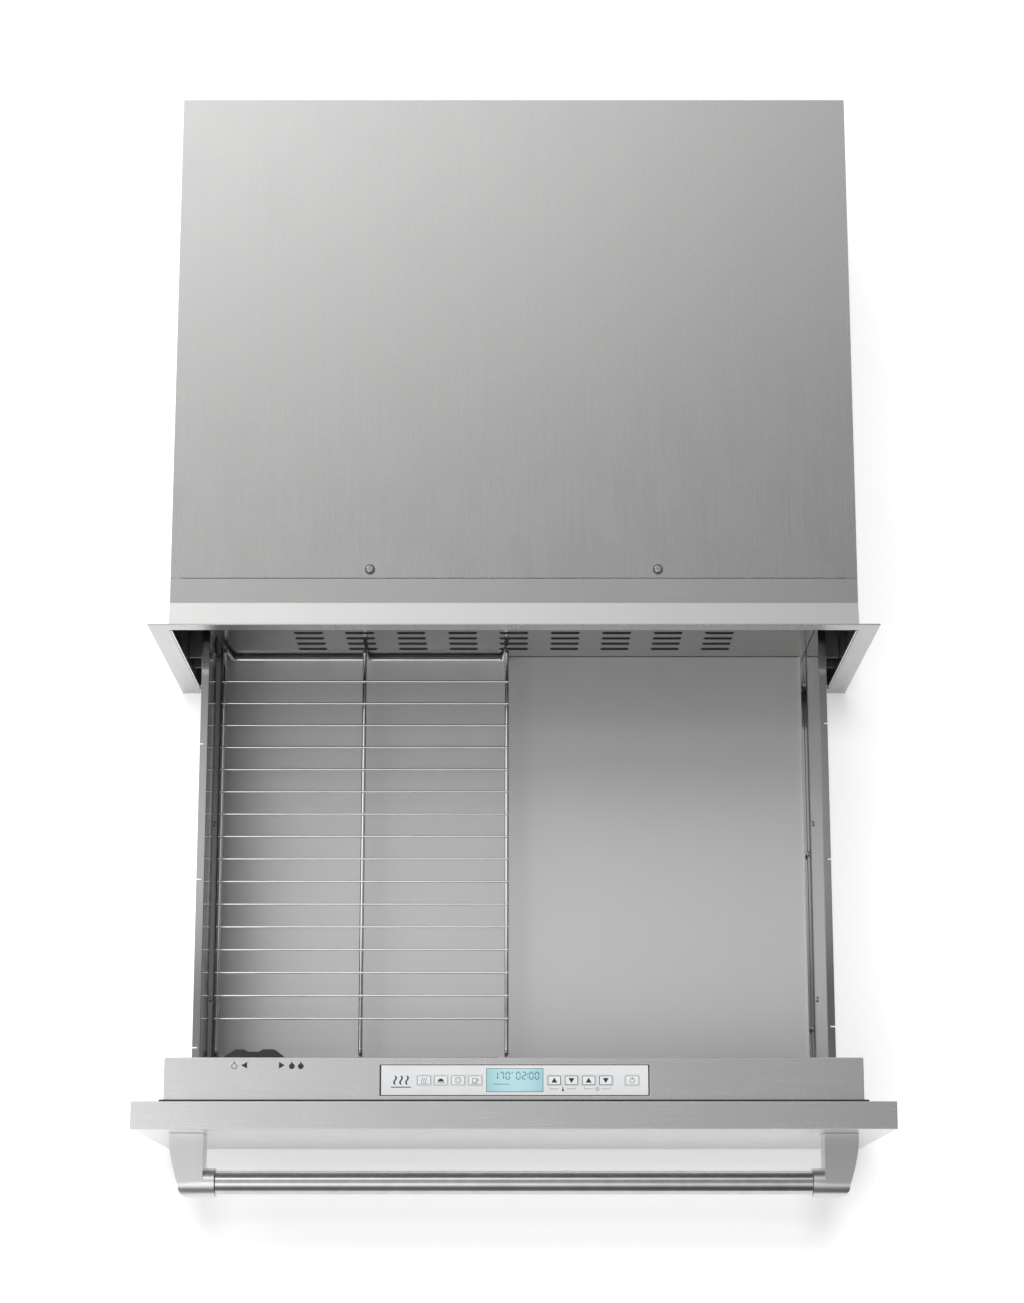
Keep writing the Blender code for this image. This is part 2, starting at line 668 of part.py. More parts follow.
def make_housing(drawer):
    low = (-HOUSING_HALF, FRONT_REAR + 0.6, HOUSING_LOW)
    high = (HOUSING_HALF, HOUSING_REAR, HOUSING_TOP)
    housing = pan("control_housing", low, high, SKIN, (0, -1, 0), drawer, "stainless")
    half, depth = FASCIA_LENGTH / 2 + 1.2, FASCIA_DEPTH / 2 + 0.7
    mouth_low = (FASCIA_MIDDLE - half, FASCIA_Y - depth, HOUSING_TOP - 5)
    mouth_high = (FASCIA_MIDDLE + half, FASCIA_Y + depth, HOUSING_TOP + 5)
    slot_low = (SLIDER_X - 24.5, HOUSING_REAR - 4, SLIDER_Z - 4)
    slot_high = (SLIDER_X + 24.5 + SLIDER_TRAVEL, HOUSING_REAR + 4, SLIDER_Z + 4)
    cut_boxes(housing, [(mouth_low, mouth_high), (slot_low, slot_high)])


def make_fascia(drawer):
    half, depth = FASCIA_LENGTH / 2, FASCIA_DEPTH / 2
    low = (FASCIA_MIDDLE - half, FASCIA_Y - depth, FASCIA_TOP - FASCIA_SHEET)
    high = (FASCIA_MIDDLE + half, FASCIA_Y + depth, FASCIA_TOP)
    plate = box("fascia_plate", low, high, drawer, "overlay")
    openings = [window_corners(0.4, FASCIA_TOP - 5, FASCIA_TOP + 5)]
    for x in KEYS.values():
        wide, deep = KEY_SIZE[0] / 2 + 0.4, KEY_SIZE[1] / 2 + 0.4
        key_low = (x - wide, KEY_Y - deep, FASCIA_TOP - 5)
        openings.append((key_low, (x + wide, KEY_Y + deep, FASCIA_TOP + 5)))
    cut_boxes(plate, openings)

    low, high = window_corners(0.0, FASCIA_TOP - FASCIA_SHEET, FASCIA_TOP + 0.2)
    box("display_window", low, high, drawer, "display")
    low, high = window_corners(1.5, FASCIA_TOP - 6.0, FASCIA_TOP - FASCIA_SHEET - 0.4)
    box("display_module", low, high, drawer, "black_plastic")
    low = (FASCIA_MIDDLE - 130, FASCIA_Y - 14, CONTROL_BOARD_Z)
    high = (FASCIA_MIDDLE + 130, FASCIA_Y + 14, CONTROL_BOARD_Z + BOARD_SHEET)
    board = box("control_board", low, high, drawer, "board")

    def connectors(bm):
        for left, right in CONNECTOR_SPANS:
            corner = (right, FASCIA_Y - 1, CONTROL_BOARD_Z + 0.4)
            add_box(bm, (left, FASCIA_Y - 9, CONTROL_BOARD_Z - 8.6), corner)

    add_pieces(board, connectors)


def window_corners(grow, low, high):
    wide, deep = WINDOW_SIZE[0] / 2 + grow, WINDOW_SIZE[1] / 2 + grow
    return (WINDOW_X - wide, FASCIA_Y - deep, low), (WINDOW_X + wide, FASCIA_Y + deep, high)


def make_key(name, x, drawer):
    """A cap that stands in the fascia's hole, on a wider foot that keeps it from falling out."""
    foot_top = FASCIA_TOP - FASCIA_SHEET - 0.4
    place = frame_empty(name + "_axis", x, KEY_Y, FASCIA_TOP)
    place.parent = drawer
    place.location -= drawer.location
    half_x, half_y = KEY_SIZE[0] / 2, KEY_SIZE[1] / 2
    bm = bmesh.new()
    add_box(bm, (-half_x - 0.7, -half_y - 0.8, foot_top - 1.2), (half_x + 0.7, half_y + 0.8, foot_top))
    bm.normal_update()
    top = max(bm.faces, key=lambda face: face.normal.z)
    bmesh.ops.inset_region(bm, faces=[top], thickness=0.7)
    cap = bmesh.ops.extrude_face_region(bm, geom=[top])["geom"]
    moved = [item for item in cap if isinstance(item, bmesh.types.BMVert)]
    bmesh.ops.translate(bm, verts=moved, vec=(0, 0, FASCIA_TOP + 0.3 - foot_top))
    bmesh.ops.delete(bm, geom=[top], context="FACES_ONLY")
    bmesh.ops.translate(bm, verts=bm.verts, vec=(0, 0, -FASCIA_TOP))
    key = make_object(name, bm, (0, 0, 0), None, "key_cap")
    key.parent = place


def bracket_outline(side):
    """Seen from above: an arm, bowed on the outside, whose rounded front turns inward along the bar."""
    root = FRONT_FACE - GAP
    outline = [(BRACKET_INNER, root), (BRACKET_OUTER, root)]
    for step in range(1, BOW_STEPS + 1):
        out = BOW_LENGTH * step / BOW_STEPS
        outline.append((BRACKET_OUTER - BOW_DEPTH * (step / BOW_STEPS) ** 1.8, root - out))
    corner = Vector((outline[-1][0] - BRACKET_CORNER, HANDLE_REACH + BRACKET_CORNER))
    for step in range(1, 7):
        angle = math.radians(15 * step)
        x = corner.x + BRACKET_CORNER * math.cos(angle)
        outline.append((x, corner.y - BRACKET_CORNER * math.sin(angle)))
    outline += [(SLEEVE_END, HANDLE_REACH), (SLEEVE_END, HANDLE_Y), (BRACKET_INNER, HANDLE_Y)]
    return [(side * x, y) for x, y in outline]


def bracket_profile():
    """Seen from the side: level above and below, with a half round front about the bar's axis."""
    profile = [(HANDLE_Y, HANDLE_Z - SLEEVE_RADIUS), (FRONT_FACE, HANDLE_Z - SLEEVE_RADIUS)]
    profile += [(FRONT_FACE, HANDLE_Z + SLEEVE_RADIUS)]
    for step in range(12):
        angle = math.radians(15 * step)
        y = HANDLE_Y - SLEEVE_RADIUS * math.sin(angle)
        profile.append((y, HANDLE_Z + SLEEVE_RADIUS * math.cos(angle)))
    return profile


def make_handle(drawer):
    bm = bmesh.new()
    add_cylinder(bm, (0, 0, 0), (1, 0, 0), BAR_RADIUS, 2 * (SLEEVE_END - GAP), 32)
    make_object("handle_bar", bm, (0, HANDLE_Y, HANDLE_Z), drawer, "stainless")
    sleeve_length = BRACKET_INNER + SLEEVE_OVERLAP - SLEEVE_END
    for side in (1, -1):
        name = f"handle_bracket_{side_name(side)}"
        low, high = HANDLE_Z - SLEEVE_RADIUS - 1, HANDLE_Z + SLEEVE_RADIUS + 1
        bracket = prism(name, bracket_outline(side), "Z", low, high, drawer, "stainless")
        bm = bmesh.new()
        add_prism(bm, bracket_profile(), "X", -BRACKET_OUTER - 1, BRACKET_OUTER + 1)
        boolean(bracket, cutter(name + "_profile", bm), "INTERSECT")
        middle = side * (SLEEVE_END + sleeve_length / 2)

        def sleeve(mesh, middle=middle):
            centre = (middle, HANDLE_Y, HANDLE_Z)
            add_cylinder(mesh, centre, (1, 0, 0), SLEEVE_RADIUS - 0.2, sleeve_length, 32)

        add_pieces(bracket, sleeve)


def make_inner_slide(side, drawer):
    outline = channel(side, WALL_OUTER + GAP, 335.6, 16.8)
    rear = INNER_SLIDE_FRONT + SLIDE_LENGTH
    prism(f"slide_inner_{side_name(side)}", outline, "Y", INNER_SLIDE_FRONT, rear, drawer, "zinc")


def make_vent_slider(drawer):
    """A knob with two finger humps, on a stem that carries a shutter inside the housing."""
    place = frame_empty("vent_slider_axis", SLIDER_X, HOUSING_REAR, SLIDER_Z)
    place.parent = drawer
    place.location -= drawer.location
    half = SLIDER_LENGTH / 2
    outline = [(-half, 0.4), (-half, 2.5), (-20, 9), (-18, 9.8), (-10, 9.8), (-6, 7.4)]
    outline += [(5, 7.4), (9, 9.8), (20, 9.8), (22, 9), (half, 2.5), (half, 0.4)]
    bm = bmesh.new()
    add_prism(bm, outline, "Z", -SLIDER_HEIGHT / 2, SLIDER_HEIGHT / 2)
    knob = make_object("vent_slider", bm, (0, 0, 0), None, "black_plastic")
    knob.parent = place

    x, z, wall = SLIDER_X, SLIDER_Z, HOUSING_REAR - SKIN

    def stem(mesh):
        add_box(mesh, (x - 20, wall - 2.0, z - 3), (x + 20, HOUSING_REAR + 2, z + 3))

    def shutter(mesh):
        add_box(mesh, (x - 36, wall - 2.4, z - 12), (x + 46, wall - 0.9, z + 12))

    add_pieces(knob, stem)
    add_pieces(knob, shutter)


def make_rack():
    middle = Vector((-164.0, (RAIL_REAR + RAIL_FRONT) / 2, RAIL_Z))
    place = frame_empty("rack_axis", *middle)
    bm = bmesh.new()
    length = RAIL_REAR - RAIL_FRONT
    add_cylinder(bm, Vector((RAIL_X[1], middle.y, RAIL_Z)) - middle, (0, 1, 0), RAIL_RADIUS, length, 8)
    grid = make_object("rack_grid", bm, middle, place, "chrome")

    def outer_rails(mesh):
        for x in (RAIL_X[0], RAIL_X[2]):
            add_cylinder(mesh, (x, middle.y, RAIL_Z), (0, 1, 0), RAIL_RADIUS, length, 8)

    def cross_wires(mesh):
        left, right = RAIL_X[0] - 2, RAIL_X[2] + 2
        for index in range(WIRE_COUNT):
            centre = ((left + right) / 2, WIRE_REAR - index * WIRE_PITCH, RAIL_Z + 3.3)
            add_cylinder(mesh, centre, (1, 0, 0), WIRE_RADIUS, right - left, 6)

    add_pieces(grid, cross_wires)
    add_pieces(grid, outer_rails)
    make_rack_legs("rack_legs_rear", RAIL_REAR, 1, place)
    make_rack_legs("rack_legs_front", RAIL_FRONT, -1, place)


def make_rack_legs(name, rail_end, outward, place):
    """A wire frame: two outer legs joined by a foot wire, and a middle leg that stands on it."""
    start = rail_end + outward * GAP
    foot_y = start + outward * 5.2
    left, right = RAIL_X[0] + 4.5, RAIL_X[2] - 4.5
    bend = []
    for step in range(5):
        angle = math.radians(90 * step / 4)
        reach = 1.0 + 4.2 * math.sin(angle)
        bend.append((start + outward * reach, RAIL_Z - 4.2 * (1 - math.cos(angle))))
    bend.insert(0, (start, RAIL_Z))
    path = [(RAIL_X[0], y, z) for y, z in bend]
    path.append((left - 0.6, foot_y, FOOT_WIRE_Z + 9))
    for step in range(5):
        angle = math.radians(90 * step / 4)
        path.append((left + 8 - 8 * math.cos(angle), foot_y, FOOT_WIRE_Z + 8 - 8 * math.sin(angle)))
    mirror = [(RAIL_X[0] + RAIL_X[2] - x, y, z) for x, y, z in path]
    bm = bmesh.new()
    add_tube(bm, path + mirror[::-1], RAIL_RADIUS, 8)
    legs = make_object(name, bm, (0, 0, 0), place, "chrome")

    def middle_leg(mesh):
        leg = [(RAIL_X[1], y, z) for y, z in bend]
        leg.append((RAIL_X[1], foot_y, FOOT_WIRE_Z))
        add_tube(mesh, leg, RAIL_RADIUS - 0.1, 8)

    add_pieces(legs, middle_leg)


def main():
    clear_scene()
    cabinet = frame_empty("cabinet_origin", 0, 0, 0)
    make_shell(cabinet)
    make_rear_panel(cabinet)
    make_flange(cabinet)
    make_collar(cabinet)
    make_heater(cabinet)
    make_baffle(cabinet)
    make_wiring(cabinet)
    drawer = frame_empty("drawer_axis", 0, FRONT_REAR, SLIDE_Z)
    make_drawer_box(drawer)
    make_front(drawer)
    make_housing(drawer)
    make_fascia(drawer)
    make_handle(drawer)
    for name, x in KEYS.items():
        make_key(name, x, drawer)
    make_vent_slider(drawer)
    for side in (1, -1):
        make_cover_screw(side, cabinet)
        make_fixed_slides(side, cabinet)
        make_runner(side)
        make_inner_slide(side, drawer)
    make_rack()


main()
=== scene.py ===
"""Looks of a built-in warming drawer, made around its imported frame. Metres, +Z up, +Y to the rear."""

import json
import math

import bpy
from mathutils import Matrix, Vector

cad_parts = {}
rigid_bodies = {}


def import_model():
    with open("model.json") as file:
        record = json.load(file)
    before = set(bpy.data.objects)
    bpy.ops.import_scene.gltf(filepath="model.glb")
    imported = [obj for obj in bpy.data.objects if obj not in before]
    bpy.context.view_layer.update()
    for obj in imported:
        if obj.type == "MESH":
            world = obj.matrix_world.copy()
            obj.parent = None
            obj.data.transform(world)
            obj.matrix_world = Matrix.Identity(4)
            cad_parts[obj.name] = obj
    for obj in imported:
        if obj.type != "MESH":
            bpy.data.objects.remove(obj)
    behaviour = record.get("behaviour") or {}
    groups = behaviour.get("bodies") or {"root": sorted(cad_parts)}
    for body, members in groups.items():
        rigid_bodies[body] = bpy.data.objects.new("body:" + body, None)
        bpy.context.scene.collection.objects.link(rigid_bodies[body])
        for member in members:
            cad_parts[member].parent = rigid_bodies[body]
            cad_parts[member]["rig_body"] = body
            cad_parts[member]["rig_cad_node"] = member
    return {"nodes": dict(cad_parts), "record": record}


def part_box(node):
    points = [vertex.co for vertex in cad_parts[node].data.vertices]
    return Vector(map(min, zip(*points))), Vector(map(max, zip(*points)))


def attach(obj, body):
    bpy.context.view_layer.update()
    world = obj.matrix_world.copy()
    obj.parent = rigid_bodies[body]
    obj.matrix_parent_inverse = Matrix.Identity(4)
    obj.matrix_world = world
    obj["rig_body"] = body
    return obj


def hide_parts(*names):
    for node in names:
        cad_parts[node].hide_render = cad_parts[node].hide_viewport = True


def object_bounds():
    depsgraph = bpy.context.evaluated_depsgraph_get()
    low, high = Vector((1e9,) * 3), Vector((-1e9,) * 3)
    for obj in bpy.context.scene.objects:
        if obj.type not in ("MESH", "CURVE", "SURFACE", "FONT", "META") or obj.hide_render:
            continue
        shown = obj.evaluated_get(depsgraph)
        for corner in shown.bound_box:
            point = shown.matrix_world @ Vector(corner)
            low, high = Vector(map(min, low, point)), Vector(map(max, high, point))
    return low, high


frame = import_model()
cad_low, cad_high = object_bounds()

MM = 0.001
RIM_ANGLE = math.radians(60)  # a turned piece's end edges are sharper than this
CAMERA_PLACE = (0.0, -1.014, 2.551)
CAMERA_TILT = math.radians(10.65)
CAMERA_LENS = 64.0
CAMERA_SENSOR = 36.0
CAMERA_SHIFT = (-0.0015, 0.185)


# Shader graphs

OBJECT_OUTPUT = 3  # of a Texture Coordinate node


class Value:
    """A number in a shader graph. Arithmetic on it adds Math nodes."""

    def __init__(self, graph, socket):
        self.graph = graph
        self.socket = socket

    def math(self, operation, *operands):
        return self.graph.node("ShaderNodeMath", {"operation": operation}, dict(enumerate(operands)))

    def __add__(self, other):
        return self.math("ADD", self, other)

    def __sub__(self, other):
        return self.math("SUBTRACT", self, other)

    def __rsub__(self, other):
        return self.math("SUBTRACT", other, self)

    def __mul__(self, other):
        return self.math("MULTIPLY", self, other)


class Graph:
    """A node tree that is built call by call."""

    def __init__(self, tree):
        self.tree = tree

    def node(self, kind, settings=None, inputs=None, output=0):
        made = self.tree.nodes.new(kind)
        for key, setting in (settings or {}).items():
            if key == "stops":
                set_stops(made.color_ramp, setting)
            else:
                setattr(made, key, setting)
        for key, entry in (inputs or {}).items():
            self.feed(made.inputs[key], entry)
        return Value(self, made.outputs[output]) if made.outputs else None

    def feed(self, socket, entry):
        if isinstance(entry, Value):
            self.tree.links.new(entry.socket, socket)
        else:
            socket.default_value = entry


class Finish(Graph):
    """A material's graph, which ends in its one Principled shader."""

    def __init__(self, name):
        self.material = bpy.data.materials.new(name)
        self.material.use_nodes = True
        super().__init__(self.material.node_tree)
        self.shader = self.tree.nodes["Principled BSDF"]

    def place(self, stretch):
        """Object coordinates, stretched."""
        where = self.node("ShaderNodeTexCoord", output=OBJECT_OUTPUT)
        return self.node("ShaderNodeMapping", None, {"Vector": where, "Scale": stretch})

    def noise(self, stretch, detail=3.0, roughness=0.55):
        inputs = {"Vector": self.place(stretch), "Scale": 1.0}
        inputs.update({"Detail": detail, "Roughness": roughness})
        return self.node("ShaderNodeTexNoise", None, inputs)

    def spread(self, value, low, high):
        """Maps 0.3 to 0.7, where noise mostly lies, onto low to high."""
        inputs = {0: value, 1: 0.3, 2: 0.7, 3: low, 4: high}
        return self.node("ShaderNodeMapRange", None, inputs)

    def tint(self, value, dark, light):
        stops = [(0.0, dark), (1.0, light)]
        return self.node("ShaderNodeValToRGB", {"stops": stops}, {0: value})

    def bump(self, height, strength, distance):
        inputs = {"Strength": strength, "Distance": distance, "Height": height}
        return self.node("ShaderNodeBump", None, inputs)

    def surface(self, **inputs):
        for key, entry in inputs.items():
            self.feed(self.shader.inputs[key.replace("_", " ").title()], entry)
        return self.material


def set_stops(ramp, stops):
    while len(ramp.elements) < len(stops):
        ramp.elements.new(0.5)
    for element, (position, colour) in zip(ramp.elements, stops):
        element.position = position
        element.color = (*colour, 1.0)


def grey(level, warmth=0.0):
    return (level + warmth, level, level - warmth)


def brushed_metal(name, level, axis, roughness, contrast=0.05, depth=0.25, warmth=0.004):
    """Sheet metal with a fine grain along an axis, faint handling marks and cloudy patches."""
    finish = Finish(name)
    fine = [620.0, 620.0, 620.0]
    broad = [160.0, 160.0, 160.0]
    fine["XYZ".index(axis)] = 9.0
    broad["XYZ".index(axis)] = 2.5
    grain = finish.noise(fine, detail=4.0, roughness=0.7)
    bands = finish.noise(broad, detail=2.0)
    clouds = finish.noise((5, 5, 5), detail=4.0)
    smears = finish.noise((22, 14, 18), detail=5.0, roughness=0.62)
    mixed = grain * 0.55 + bands * 0.25 + clouds * 0.2
    darker, lighter = grey(level - contrast, warmth), grey(level + contrast, warmth)
    colour = finish.tint(finish.spread(mixed, 0.0, 1.0), darker, lighter)
    rough = finish.spread(grain, -contrast, contrast) + finish.spread(smears, -0.01, 0.015) + roughness
    return finish.surface(
        base_color=colour,
        metallic=1.0,
        roughness=rough,
        normal=finish.bump(grain * 0.7 + bands * 0.3, depth, 0.0002),
    )


def bright_metal(name, level, roughness, depth=0.05):
    """Plated or polished metal: smooth, with faint haze."""
    finish = Finish(name)
    haze = finish.noise((60, 60, 60), detail=5.0)
    ripple = finish.noise((35, 35, 35), detail=1.0)
    return finish.surface(
        base_color=finish.tint(finish.spread(haze, 0.0, 1.0), grey(level - 0.05), grey(level + 0.04)),
        metallic=1.0,
        roughness=finish.spread(haze, -0.02, 0.04) + roughness,
        normal=finish.bump(ripple, depth, 0.0005),
    )


def moulded(name, dark, light, roughness, grain_size=1500.0, depth=0.15):
    """Plastic, rubber, board or fibre with a fine moulded texture."""
    finish = Finish(name)
    pores = finish.noise((grain_size,) * 3, detail=2.0)
    wear = finish.noise((40, 40, 40), detail=4.0)
    return finish.surface(
        base_color=finish.tint(finish.spread(wear * 0.6 + pores * 0.4, 0.0, 1.0), dark, light),
        roughness=finish.spread(wear, -0.06, 0.06) + roughness,
        normal=finish.bump(pores, depth, 0.0002),
    )


def backlit_display():
    """A clear window over a cyan backlit panel, a little brighter in its middle."""
    finish = Finish("backlit_display")
    low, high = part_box("display_window")
    middle = (low + high) / 2
    where = finish.node("ShaderNodeTexCoord", output=OBJECT_OUTPUT)
    shifted = {"Vector": where, "Location": -middle, "Scale": (1, 1, 1)}
    centred = finish.node("ShaderNodeMapping", {"vector_type": "POINT"}, shifted)
    apart = finish.node("ShaderNodeSeparateXYZ", None, {0: centred})
    across = Value(finish, apart.socket.node.outputs[0])
    fade = (across * across) * (0.5 / (high.x - low.x) ** 2 * 4)
    cells = finish.noise((2500, 2500, 2500), detail=1.0)
    level = 1.0 - fade - finish.spread(cells, 0.0, 0.04)
    colour = finish.tint(level, (0.18, 0.38, 0.43), (0.41, 0.63, 0.67))
    return finish.surface(
        base_color=colour,
        roughness=finish.spread(cells, 0.10, 0.16),
        coat_weight=0.6,
        emission_color=colour,
        emission_strength=0.12,
    )


def make_finishes():
    steel = {
        "cover": brushed_metal("cover_sheet", 0.56, "Y", 0.27, contrast=0.012, depth=0.035),
        "stainless_x": brushed_metal("stainless_grain_across", 0.62, "X", 0.30),
        "stainless_z": brushed_metal("stainless_grain_upright", 0.60, "Z", 0.30),
        "strip": brushed_metal("front_strip", 0.80, "X", 0.26, contrast=0.015, depth=0.06),
        "bracket": brushed_metal("handle_bracket_grain", 0.70, "Y", 0.30, contrast=0.02, depth=0.06),
        "collar": brushed_metal("collar_strip", 0.56, "X", 0.30, contrast=0.015, depth=0.06),
        "tray": brushed_metal("drawer_tray", 0.75, "Y", 0.54, contrast=0.008, depth=0.02),
        "liner": brushed_metal("drawer_liner", 0.44, "Y", 0.10, contrast=0.01, depth=0.01),
        "liner_across": brushed_metal("drawer_liner_across", 0.27, "X", 0.20, contrast=0.015, depth=0.04),
        "inner": brushed_metal("cabinet_inner_sheet", 0.28, "Z", 0.42, contrast=0.05),
        "zinc": brushed_metal("zinc_plating", 0.58, "Y", 0.28, contrast=0.06, depth=0.1, warmth=-0.006),
        "chrome": bright_metal("chrome_wire", 0.92, 0.07),
        "polished": bright_metal("polished_bar", 0.60, 0.10, depth=0.01),
        "screw": bright_metal("screw_plating", 0.56, 0.24, depth=0.1),
        "foil": bright_metal("reflector_foil", 0.72, 0.22, depth=0.4),
        "heater": bright_metal("heater_sheath", 0.18, 0.42, depth=0.2),
    }
    other = {
        "black": moulded("black_moulding", (0.012, 0.012, 0.013), (0.028, 0.028, 0.030), 0.42),
        "rubber": moulded("seal_rubber", (0.018, 0.018, 0.018), (0.040, 0.040, 0.040), 0.72, 700.0, 0.3),
        "overlay": moulded("silver_overlay", (0.66, 0.67, 0.68), (0.72, 0.73, 0.74), 0.38, 2500.0, 0.05),
        "key": moulded("key_film", (0.70, 0.71, 0.72), (0.76, 0.77, 0.78), 0.42, 2500.0, 0.05),
        "ink": moulded("printed_ink", (0.012, 0.012, 0.014), (0.03, 0.03, 0.032), 0.5, 2500.0, 0.05),
        "segment": moulded("display_segment", (0.02, 0.07, 0.09), (0.03, 0.10, 0.12), 0.3, 2500.0, 0.05),
        "board": moulded("board_lacquer", (0.010, 0.09, 0.035), (0.03, 0.16, 0.07), 0.35, 600.0, 0.3),
        "wool": moulded("mineral_wool", (0.38, 0.32, 0.18), (0.62, 0.54, 0.34), 0.95, 350.0, 0.9),
        "ceramic": moulded("terminal_ceramic", (0.62, 0.58, 0.50), (0.78, 0.74, 0.66), 0.40, 900.0, 0.1),
        "display": backlit_display(),
    }
    return {**steel, **other}


# Modelling


def pick_only(*objects):
    bpy.ops.object.select_all(action="DESELECT")
    for obj in objects:
        obj.select_set(True)
    bpy.context.view_layer.objects.active = objects[0]


def modify(obj, kind, **settings):
    pick_only(obj)
    step = obj.modifiers.new(kind.lower(), kind)
    for key, setting in settings.items():
        setattr(step, key, setting)
    bpy.ops.object.modifier_apply(modifier=step.name)


def soften(obj, width, segments=2, angle=30.0, smooth=50.0):
    """Rounds an object's edges, and keeps its flat faces shaded flat."""
    if width:
        limit = {"limit_method": "ANGLE", "angle_limit": math.radians(angle)}
        modify(obj, "BEVEL", width=width, segments=segments, **limit)
    pick_only(obj)
    bpy.ops.object.shade_smooth_by_angle(angle=math.radians(smooth))
    modify(obj, "WEIGHTED_NORMAL", keep_sharp=True)


def hand_over(obj, name, body, slot, material, *stands_for):
    pick_only(obj)
    bpy.ops.object.transform_apply(location=True, rotation=True, scale=True)
    obj.name = name
    obj.data.materials.clear()
    obj.data.materials.append(material)
    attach(obj, body)
    if stands_for:
        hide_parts(*stands_for)
    return obj


def body_of(node):
    for body, members in frame["record"]["behaviour"]["bodies"].items():
        if node in members:
            return body
    raise ValueError(node)


def slot_of(node):
    for entry in frame["record"]["subparts"]:
        if entry["node"] == node:
            return entry["material_slot"]
    raise ValueError(node)


def refined(node, width, material, segments=2, angle=30.0, smooth=50.0, pierced=False):
    """A copy of a frame node with its edges rounded, which stands for it.

    A pierced sheet keeps its triangles, because one face can't go round many holes.
    """
    piece = frame["nodes"][node].copy()
    piece.data = piece.data.copy()
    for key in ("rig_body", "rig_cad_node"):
        del piece[key]
    piece.parent = None
    bpy.context.scene.collection.objects.link(piece)
    pick_only(piece)
    bpy.ops.object.mode_set(mode="EDIT")
    bpy.ops.mesh.select_all(action="SELECT")
    bpy.ops.mesh.customdata_custom_splitnormals_clear()
    bpy.ops.mesh.remove_doubles(threshold=0.00001)
    if not pierced:
        bpy.ops.mesh.dissolve_limited(angle_limit=math.radians(0.5))
    bpy.ops.object.mode_set(mode="OBJECT")
    soften(piece, width, segments, angle, smooth)
    return hand_over(piece, node + "_finished", body_of(node), slot_of(node), material, node)


def block(low, high):
    """A cube stretched between two corners."""
    low, high = Vector(low), Vector(high)
    pick_only_none()
    bpy.ops.mesh.primitive_cube_add(size=1.0, location=(low + high) / 2)
    obj = bpy.context.object
    obj.scale = high - low
    bpy.ops.object.transform_apply(location=False, rotation=False, scale=True)
    return obj


def pick_only_none():
    bpy.ops.object.select_all(action="DESELECT")


def rod(start, end, radius, sides=20, rim=0.0):
    """A round bar between two points, with its end edges eased by rim."""
    start, end = Vector(start), Vector(end)
    turn = (end - start).to_track_quat("Z", "Y")
    pick_only_none()
    bpy.ops.mesh.primitive_cylinder_add(
        vertices=sides, radius=radius, depth=(end - start).length, location=(start + end) / 2
    )
    obj = bpy.context.object
    obj.rotation_mode = "QUATERNION"
    obj.rotation_quaternion = turn
    bpy.ops.object.transform_apply(location=True, rotation=True, scale=True)
    if rim:
        modify(obj, "BEVEL", width=rim, segments=3, limit_method="ANGLE", angle_limit=RIM_ANGLE)
    return obj


def joined(objects):
    pick_only(*objects)
    bpy.ops.object.join()
    return bpy.context.object


def carve(obj, tool):
    """Cuts one shape out of another, and discards the tool."""
    modify(obj, "BOOLEAN", operation="DIFFERENCE", object=tool, solver="EXACT")
    bpy.data.objects.remove(tool)
    return obj


def rounded_path(corners, radius, steps=6):
    """The corners of a wire's route, with each inner corner turned on a radius."""
    corners = [Vector(corner) for corner in corners]
    route = [corners[0]]
    for before, corner, after in zip(corners, corners[1:], corners[2:]):
        into = (before - corner).normalized()
        out = (after - corner).normalized()
        half = into.angle(out) / 2
        room = min((before - corner).length, (after - corner).length) * 0.45
        reach = min(radius / math.tan(half), room)
        middle = corner + (into + out).normalized() * (reach / math.cos(half))
        for step in range(steps + 1):
            point = (corner + into * reach).lerp(corner + out * reach, step / steps)
            route.append(middle + (point - middle).normalized() * (reach * math.tan(half)))
    return route + [corners[-1]]


def wire(route, radius, sides=4):
    """A bent wire along a route, as a mesh."""
    curve = bpy.data.curves.new("wire", "CURVE")
    curve.dimensions = "3D"
    curve.bevel_depth = radius
    curve.bevel_resolution = sides
    curve.use_fill_caps = True
    spline = curve.splines.new("POLY")
    spline.points.add(len(route) - 1)
    for point, place in zip(spline.points, route):
        point.co = (*place, 1.0)
    obj = bpy.data.objects.new("wire", curve)
    bpy.context.scene.collection.objects.link(obj)
    pick_only(obj)
    bpy.ops.object.convert(target="MESH")
    obj = bpy.context.object
    bpy.ops.object.mode_set(mode="EDIT")
    bpy.ops.mesh.select_all(action="SELECT")
    bpy.ops.mesh.remove_doubles(threshold=0.000001)
    bpy.ops.mesh.normals_make_consistent(inside=False)
    bpy.ops.object.mode_set(mode="OBJECT")
    return obj


def pan_head(place, normal, radius, height):
    """A domed screw head with a cross recess, its foot at a place."""
    place, normal = Vector(place), Vector(normal).normalized()
    head = rod((0, 0, 0), (0, 0, height), radius, 24)
    dome_width = height * 0.55
    modify(head, "BEVEL", width=dome_width, segments=4, limit_method="ANGLE", angle_limit=RIM_ANGLE)
    for along in ((1, 0), (0, 1)):
        half_x, half_y = (radius * (0.62 if on else 0.13) for on in along)
        tool = block((-half_x, -half_y, height * 0.4), (half_x, half_y, height * 1.2))
        head = carve(head, tool)
    head.rotation_mode = "QUATERNION"
    head.rotation_quaternion = normal.to_track_quat("Z", "Y")
    head.location = place
    pick_only(head)
    bpy.ops.object.transform_apply(location=True, rotation=True, scale=True)
    soften(head, 0)
    return head


# Flat printed shapes: each lies at a height and gets the thickness of a film.

FILM = 0.00008


def thickened(obj):
    modify(obj, "SOLIDIFY", thickness=FILM, offset=1.0)
    return obj


